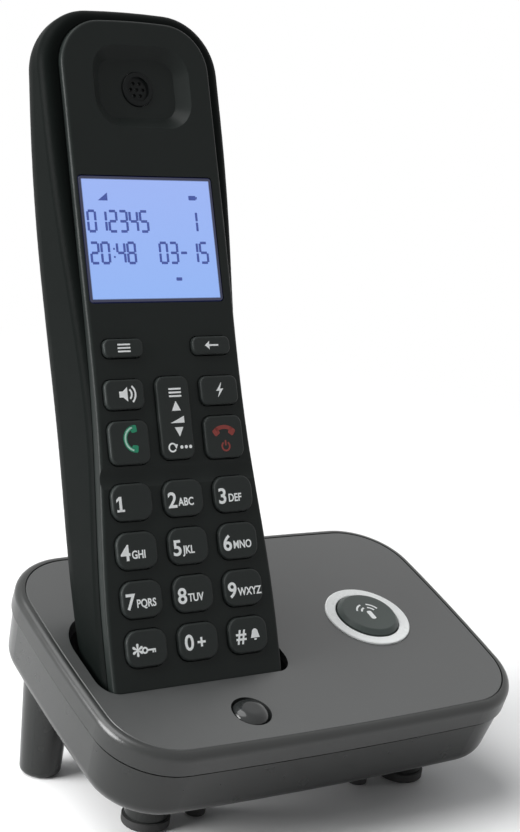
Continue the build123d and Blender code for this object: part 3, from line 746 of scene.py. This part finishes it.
class TELEPHONE_OT_display(bpy.types.Operator):
    """Light the display and draw its dark segments."""

    bl_idname = "telephone.display"
    bl_label = "Light the display"

    def execute(self, context):
        settings = context.scene.telephone_display
        finish_nodes(["display_window"], display_material(settings))
        ink = ink_material("Dark segment", settings.segment, 0.25)
        low, high = SEGMENT_LEVELS
        middle_x, middle_y = DISPLAY_CENTRE
        parts = []
        for text, left, foot in DISPLAY_TEXT:
            parts += segment_text(text, middle_x + left, middle_y + foot)
        # Signal wedge and battery sign along the top, and a dash at the foot
        top = middle_y + 10.0
        wedge, battery = middle_x - 13.5, middle_x + 12.3
        parts.append(prism([(wedge, top - 0.9), (wedge + 2.6, top - 0.9), (wedge + 2.6, top + 1.0)], low, high))
        parts.append(bar(battery, top, 2.0, 1.1, low, high, 0.2))
        parts.append(bar(battery + 1.2, top, 0.3, 0.6, low, high))
        parts.append(bar(middle_x + 6.4, middle_y - 9.6, 1.6, 0.8, low, high, 0.2))
        piece("display_segments", parts, FACE, ink, "handset")
        return {"FINISHED"}


# ---------------------------------------------------------------- legends

KEY_GROUPS = {
    "1": "", "2": "ABC", "3": "DEF", "4": "GHI", "5": "JKL", "6": "MNO", "7": "PQRS", "8": "TUV", "9": "WXYZ",
    "*": "", "0": "", "#": "",
}
KEY_NAMES = {"*": "star_key", "0": "zero_key", "#": "hash_key"}
DIGIT_WEIGHT = 0.1
LETTER_WEIGHT = 0.06
LETTER_STRETCH = 0.83
LETTER_SHIFT = (1.55, -0.55)
# How much painted light the coloured print gives off, so that it reads brighter than the lamps alone make it
INK_PAINTED_GLOW = 0.1


def print_levels(settings, top):
    """The levels between which the print on a surface at the height top lies."""
    return top - PRINT_ROOT, top + settings.ink_height / MM


def key_sign(x, y, low, high):
    """A small key: a ring with a shaft and two teeth."""
    return [
        arc_band(x - 1.0, y, 0.6, 0.42, 0, 359, low, high),
        bar(x + 0.7, y, 2.2, 0.42, low, high),
        bar(x + 1.1, y - 0.35, 0.35, 0.7, low, high),
        bar(x + 1.65, y - 0.35, 0.35, 0.7, low, high),
    ]


def bell_sign(x, y, low, high):
    """A small bell with its clapper."""
    dome = [(x + 0.85 * math.cos(a), y + 0.35 + 0.95 * math.sin(a)) for a in (math.pi * n / 10 for n in range(11))]
    return [
        prism([(x + 1.25, y - 0.85), *dome, (x - 1.25, y - 0.85)], low, high),
        bar(x, y - 1.2, 0.7, 0.35, low, high, 0.15),
    ]


def one_sign(x, y, tall, low, high):
    """The digit one with a flag and a foot."""
    top = y + tall / 2
    return [
        bar(x, y, 0.7, tall, low, high),
        bar(x, y - tall / 2 + 0.25, 2.0, 0.5, low, high),
        prism([(x - 0.35, top), (x - 1.05, top - 0.7), (x - 1.05, top - 1.3), (x - 0.35, top - 0.8)], low, high),
    ]


def digit_sign(sign, x, y, tall, low, high):
    """The parts of a digit, or of the star, zero or hash with the small sign beside it."""
    if sign == "1":
        return one_sign(x, y, tall, low, high)
    if sign == "*":
        star = lettering(sign, tall * 1.25, x + 0.6, y - 0.9, low, high, DIGIT_WEIGHT)
        return [star, *key_sign(x + 3.5, y - 0.1, low, high)]
    if sign == "0":
        zero = lettering(sign, tall, x + 0.6, y + 0.3, low, high, DIGIT_WEIGHT)
        return [zero, lettering("+", 2.9, x + 3.9, y + 0.1, low, high, DIGIT_WEIGHT)]
    if sign == "#":
        hash_mark = lettering(sign, tall * 0.9, x + 1.1, y + 0.3, low, high, DIGIT_WEIGHT)
        return [hash_mark, *bell_sign(x + 5.0, y + 0.3, low, high)]
    return [lettering(sign, tall, x, y, low, high, DIGIT_WEIGHT)]


def receiver_sign(x, y, radius, turn, spread, low, high):
    """A telephone receiver: a thick bow with a pad at each end, its back towards the angle turn."""
    parts = [arc_band(x, y, radius, 0.95, turn - spread + 4, turn + spread - 4, low, high)]
    for side in (-1, 1):
        angle = math.radians(turn + side * spread)
        reach = radius - 0.15
        pad = bar(-0.25, 0, 1.7, 1.6, low, high, 0.4)
        place = Matrix.Translation((x + reach * math.cos(angle), y + reach * math.sin(angle), 0))
        pad.transform(place @ Matrix.Rotation(angle, 4, "Z"))
        parts.append(pad)
    return parts


def end_sign(low, high):
    """A receiver that lies down over a power ring."""
    return [
        *receiver_sign(12.8, 54.5, 4.1, 90, 36, low, high),
        arc_band(13.0, 54.0, 1.05, 0.42, 125, 415, low, high),
        bar(13.0, 54.8, 0.42, 1.3, low, high, 0.15),
    ]


def speaker_sign(low, high):
    """A horn with two sound waves."""
    horn = [(-14.45, 66.8), (-13.5, 66.8), (-12.3, 65.8), (-12.3, 69.2), (-13.5, 68.2), (-14.45, 68.2)]
    waves = [arc_band(-12.6, 67.5, radius, 0.45, -50, 50, low, high) for radius in (1.4, 2.4)]
    return [prism(horn, low, high), *waves]


def flash_sign(low, high):
    """A lightning mark."""
    bolt = [(13.5, 69.3), (11.9, 67.3), (12.8, 67.3), (12.2, 65.7), (13.9, 67.8), (13.0, 67.8)]
    return [prism(bolt, low, high)]


def menu_sign(low, high):
    """Three short lines."""
    return [bar(-12.0, 78.3 + step, 3.4, 0.38, low, high, 0.15) for step in (-0.8, 0, 0.8)]


def back_sign(low, high):
    """An arrow to the left."""
    return [
        bar(12.4, 78.3, 2.8, 0.4, low, high),
        prism([(11.3, 79.3), (10.1, 78.3), (11.3, 77.3)], low, high),
    ]


def rocker_sign(low, high):
    """From the top: list lines, a triangle up, a wedge, a triangle down, and a turning arrow with dots."""
    return [
        prism([(-0.85, 63.1), (1.55, 63.1), (0.35, 65.4)], low, high),
        prism([(-0.55, 59.2), (1.75, 59.2), (0.6, 57.0)], low, high),
        prism([(-1.6, 60.2), (2.2, 60.2), (2.2, 61.8)], low, high),
        *(bar(0.4, 67.4 + step, 3.4, 0.42, low, high, 0.15) for step in (-0.85, 0, 0.85)),
        arc_band(-1.7, 54.5, 0.95, 0.4, 30, 330, low, high),
        prism([(-1.35, 55.3), (-0.2, 55.2), (-0.7, 54.1)], low, high),
        *(bar(step, 54.5, 0.8, 0.8, low, high, 0.35) for step in (0.8, 2.0, 3.2)),
    ]


def page_sign(low, high):
    """A mast with radio waves to both sides."""
    waves = [
        arc_band(30.0, -0.2, radius, 0.5, start, start + 55, low, high) for radius in (2.0, 3.3) for start in (20, 105)
    ]
    return [bar(30.0, -1.2, 1.4, 3.2, low, high, 0.5), *waves]


class TELEPHONE_OT_digit_legends(bpy.types.Operator):
    """Print the digits, their letter groups and the star and hash on the twelve digit keys."""

    bl_idname = "telephone.digit_legends"
    bl_label = "Print the digits"

    def execute(self, context):
        settings = context.scene.telephone_legends
        # The white print glows a little: painted light, not a lamp
        ink = ink_material("White ink", settings.ink, 0.12)
        tall, small = settings.digit_height / MM, settings.letter_height / MM
        low, high = print_levels(settings, KEY_TOP)
        for number, (sign, letters) in enumerate(KEY_GROUPS.items()):
            row, column = divmod(number, 3)
            x = (column - 1) * DIGIT_PITCH[0] + DIGIT_SHIFT[0]
            y = DIGIT_ROW - row * DIGIT_PITCH[1] + DIGIT_SHIFT[1]
            parts = digit_sign(sign, x, y, tall, low, high)
            if letters:
                left, middle = x + LETTER_SHIFT[0], y + LETTER_SHIFT[1]
                parts.append(lettering(letters, small, left, middle, low, high, LETTER_WEIGHT, "LEFT", LETTER_STRETCH))
            name = KEY_NAMES.get(sign, f"digit_key_{sign}")
            piece(f"legend_{name}", parts, FACE, ink, name)
        return {"FINISHED"}


class TELEPHONE_OT_function_legends(bpy.types.Operator):
    """Print the signs on the talk, end, loudspeaker, flash, soft and rocker keys and on the paging button."""

    bl_idname = "telephone.function_legends"
    bl_label = "Print the signs"

    def execute(self, context):
        settings = context.scene.telephone_legends
        white = bpy.data.materials["White ink"]
        green = ink_material("Green ink", settings.talk_ink, INK_PAINTED_GLOW)
        red = ink_material("Red ink", settings.end_ink, INK_PAINTED_GLOW)
        low, high = print_levels(settings, KEY_TOP)
        # The talk sign's receiver has a pale line along its bow
        talk_x, talk_y, bow = -11.35, 57.1, 2.75
        talk = receiver_sign(talk_x, talk_y, bow, 180, 82, low, high)
        piece("legend_talk_key", talk, FACE, green, "talk_key")
        core = [arc_band(talk_x, talk_y, bow, 0.42, 105, 255, high, high + 0.02)]
        pale = ink_material("Pale ink", (0.42, 0.62, 0.54), INK_PAINTED_GLOW)
        piece("legend_talk_core", core, FACE, pale, "talk_key")
        for key, sign, ink in (
            ("end_key", end_sign, red),
            ("speaker_key", speaker_sign, white),
            ("flash_key", flash_sign, white),
            ("left_soft_key", menu_sign, white),
            ("right_soft_key", back_sign, white),
            ("rocker_key", rocker_sign, white),
        ):
            piece(f"legend_{key}", sign(low, high), FACE, ink, key)
        page = page_sign(*print_levels(settings, BUTTON_TOP))
        piece("legend_page_button", page, DECK, white, "page_button")
        return {"FINISHED"}


# ---------------------------------------------------------------- rear details

DOOR_RIDGES = {"Count": 6, "Pitch": 1.6, "Length": 14.0, "Radius": 0.5}
DOOR_RIDGE_PLACE = (0, 70.0, 24.35)
DOOR_SLOPE = math.radians(2.6)
SOCKET_WIRES = {"Count": 4, "Pitch": 1.1, "Length": 6.5, "Radius": 0.18}
SOCKET_WIRE_PLACE = (-31.65, -9.3, -9.6)
QUARTER_TURN = math.radians(90)


class TELEPHONE_OT_rear_details(bpy.types.Operator):
    """Put finger ridges on the battery door and contact wires in the telephone line socket."""

    bl_idname = "telephone.rear_details"
    bl_label = "Add the rear details"

    def execute(self, context):
        casing = context.scene.telephone_plastics.casing
        tree = row_tree("Row of rods", rounded_rod)
        plastic = moulded("Ridge plastic", casing, 0.4, grain=2400.0, depth=0.3, cloud=0.3, specular=0.1)
        ridges = grow(tree, DOOR_RIDGES, plastic)
        ridges.transform(Matrix.Translation(DOOR_RIDGE_PLACE) @ Matrix.Rotation(DOOR_SLOPE, 4, "X"))
        piece("door_ridges", [ridges], BACK, plastic, "battery_door")
        gold = metal("Contact gold", (0.8, 0.58, 0.22), 0.2, streak=0.1)
        wires = grow(tree, SOCKET_WIRES, gold)
        turn = Matrix.Rotation(QUARTER_TURN, 4, "Y") @ Matrix.Rotation(QUARTER_TURN, 4, "X")
        wires.transform(Matrix.Translation(SOCKET_WIRE_PLACE) @ turn)
        piece("socket_wires", [wires], REAR, gold, "base")
        return {"FINISHED"}


# ---------------------------------------------------------------- stage

WHITE = (1, 1, 1, 1)
FLOOR_REACH = 9.0
# The floor's tone as the eye sees it, and the tone that it throws back on the object
FLOOR_TONE = (0.95, 0.98)
FLOOR_SHADE = 0.5
# Distances from the origin between which the seen floor turns plain white
FLOOR_FADE = (0.12, 0.42)
# The room's light by direction: from the front (-Y) to the back, and from the left (-X) to the right
ROOM_COLOUR = (0.97, 0.985, 1.0, 1)
ROOM_DEPTH = ((-0.9, 0.8), (0.12, 1.0))
ROOM_WIDTH = ((0.3, 0.66), (0.45, 1.08))
WINDOW_PLACE, WINDOW_SIZE, WINDOW_POWER = (-0.85, 0.12, 0.32), 0.6, 13.0
CEILING_PLACE, CEILING_SPREAD, CEILING_POWER = (-0.4, 0.2, 1.0), math.radians(45), 1.75
LAMP_AIM = Vector((0, 0, 0.07))
CAMERA_LENS, CAMERA_SENSOR, CAMERA_DISTANCE = 82.49, 36.0, 0.45
CAMERA_TURN, CAMERA_DIP, CAMERA_ROLL = 0.613, 0.277, 0.132
CAMERA_TARGET = Vector((-9.018, 3.085 + DECK_ORIGIN.y, 93.4)) * MM


def sight_rays(tree):
    """A value that is 1 for what the eye, metal and glass see, and 0 for what only lights the object."""
    rays = tree.nodes.new("ShaderNodeLightPath")
    mirrored = maths(tree, "ADD", rays.outputs["Is Glossy Ray"], rays.outputs["Is Transmission Ray"])
    return maths(tree, "ADD", rays.outputs["Is Camera Ray"], mirrored, clamp=True)


def set_floor(scene):
    """A pale floor that keeps the object's shadow and turns plain white farther away."""
    mesh = bpy.data.meshes.new("floor")
    reach = FLOOR_REACH
    mesh.from_pydata([(-reach, -reach, 0), (reach, -reach, 0), (reach, reach, 0), (-reach, reach, 0)], [],
                     [(0, 1, 2, 3)])
    floor = bpy.data.objects.new("floor", mesh)
    scene.collection.objects.link(floor)
    material, tree, shader = new_material("Pale floor")
    cloud = tree.nodes.new("ShaderNodeTexNoise")
    cloud.inputs["Scale"].default_value = 6.0
    seen = sight_rays(tree)
    tone = mix(tree, "FLOAT", seen, FLOOR_SHADE, map_range(tree, cloud.outputs["Fac"], (0.0, 1.0), FLOOR_TONE))
    link(tree, tone, shader.inputs["Base Color"])
    set_shader(shader, {"Roughness": 0.9, "Specular IOR Level": 0.1})
    away = vector_maths(tree, "LENGTH", object_place(tree)).outputs["Value"]
    plain = maths(tree, "MULTIPLY", seen, map_range(tree, away, FLOOR_FADE))
    white = tree.nodes.new("ShaderNodeEmission")
    white.inputs["Color"].default_value = WHITE
    mix_shaders(tree, plain, shader.outputs[0], white.outputs[0], node_of(material, "OUTPUT_MATERIAL"))
    mesh.materials.append(material)


def set_world(scene):
    """A room that is brighter at the back and on the right, and plain white to the eye."""
    world = bpy.data.worlds.new("Studio")
    world.use_nodes = True
    tree = world.node_tree
    tree.nodes.clear()
    room, white = tree.nodes.new("ShaderNodeBackground"), tree.nodes.new("ShaderNodeBackground")
    way = tree.nodes.new("ShaderNodeSeparateXYZ")
    link(tree, tree.nodes.new("ShaderNodeTexCoord").outputs["Generated"], way.inputs[0])
    depth = map_range(tree, way.outputs["Y"], *ROOM_DEPTH, kind="SMOOTHSTEP")
    width = map_range(tree, way.outputs["X"], *ROOM_WIDTH, kind="SMOOTHSTEP")
    link(tree, maths(tree, "MULTIPLY", depth, width), room.inputs["Strength"])
    room.inputs["Color"].default_value = ROOM_COLOUR
    white.inputs["Color"].default_value = WHITE
    output = tree.nodes.new("ShaderNodeOutputWorld")
    mix_shaders(tree, sight_rays(tree), room.outputs[0], white.outputs[0], output)
    scene.world = world


def set_lamps(scene):
    """A window on the left and a wide soft ceiling light."""
    window = bpy.data.lights.new("window", "AREA")
    window.shape = "DISK"
    window.size = WINDOW_SIZE
    window.energy = WINDOW_POWER
    ceiling = bpy.data.lights.new("ceiling", "SUN")
    ceiling.angle = CEILING_SPREAD
    ceiling.energy = CEILING_POWER
    for lamp, place in ((window, WINDOW_PLACE), (ceiling, CEILING_PLACE)):
        thing = bpy.data.objects.new(lamp.name, lamp)
        scene.collection.objects.link(thing)
        thing.location = place
        thing.rotation_euler = (LAMP_AIM - Vector(place)).to_track_quat("-Z", "Y").to_euler()


def set_camera(scene):
    """A camera in front, a little to the left and above, and slightly rolled."""
    lens = bpy.data.cameras.new("camera")
    lens.sensor_fit = "AUTO"
    lens.sensor_width = CAMERA_SENSOR
    lens.lens = CAMERA_LENS
    camera = bpy.data.objects.new("camera", lens)
    scene.collection.objects.link(camera)
    level = math.cos(CAMERA_DIP)
    ahead = Vector((math.sin(CAMERA_TURN) * level, math.cos(CAMERA_TURN) * level, -math.sin(CAMERA_DIP)))
    right = Vector((math.cos(CAMERA_TURN), -math.sin(CAMERA_TURN), 0))
    up = right.cross(ahead)
    rolled_right = right * math.cos(CAMERA_ROLL) + up * math.sin(CAMERA_ROLL)
    rolled_up = up * math.cos(CAMERA_ROLL) - right * math.sin(CAMERA_ROLL)
    camera.matrix_world = matrix_of(rolled_right, rolled_up, -ahead, CAMERA_TARGET - ahead * CAMERA_DISTANCE)
    scene.camera = camera


class TELEPHONE_OT_stage(bpy.types.Operator):
    """Set up the floor, the room, the lamps and the camera."""

    bl_idname = "telephone.stage"
    bl_label = "Set the stage"

    def execute(self, context):
        scene = context.scene
        scene.view_settings.view_transform = "Standard"
        set_floor(scene)
        set_world(scene)
        set_lamps(scene)
        set_camera(scene)
        return {"FINISHED"}


# ---------------------------------------------------------------- sidebar and start


class TELEPHONE_PT_panel(bpy.types.Panel):
    """Lists the steps and their settings in the sidebar."""

    bl_idname = "TELEPHONE_PT_panel"
    bl_label = "Telephone"
    bl_space_type = "VIEW_3D"
    bl_region_type = "UI"
    bl_category = "Telephone"

    def draw(self, context):
        layout = self.layout
        for name in SETTINGS:
            settings = getattr(context.scene, name)
            box = layout.box()
            for setting in settings.__annotations__:
                box.prop(settings, setting)
        for step in STEPS:
            layout.operator(step.bl_idname)


SETTINGS = {
    "telephone_plastics": TELEPHONE_PG_plastics,
    "telephone_legends": TELEPHONE_PG_legends,
    "telephone_display": TELEPHONE_PG_display,
}
STEPS = (
    TELEPHONE_OT_stage,
    TELEPHONE_OT_base_finish,
    TELEPHONE_OT_inner_finish,
    TELEPHONE_OT_handset_finish,
    TELEPHONE_OT_display,
    TELEPHONE_OT_digit_legends,
    TELEPHONE_OT_function_legends,
    TELEPHONE_OT_rear_details,
)
CLASSES = (*SETTINGS.values(), *STEPS, TELEPHONE_PT_panel)


def register():
    for kind in CLASSES:
        bpy.utils.register_class(kind)
    for name, kind in SETTINGS.items():
        setattr(bpy.types.Scene, name, bpy.props.PointerProperty(type=kind))


def unregister():
    for name in SETTINGS:
        delattr(bpy.types.Scene, name)
    for kind in reversed(CLASSES):
        bpy.utils.unregister_class(kind)


def main():
    """Run every step in order."""
    register()
    bpy.ops.telephone.stage()
    bpy.ops.telephone.base_finish()
    bpy.ops.telephone.inner_finish()
    bpy.ops.telephone.handset_finish()
    bpy.ops.telephone.display()
    bpy.ops.telephone.digit_legends()
    bpy.ops.telephone.function_legends()
    bpy.ops.telephone.rear_details()


if __name__ == "__main__":
    main()
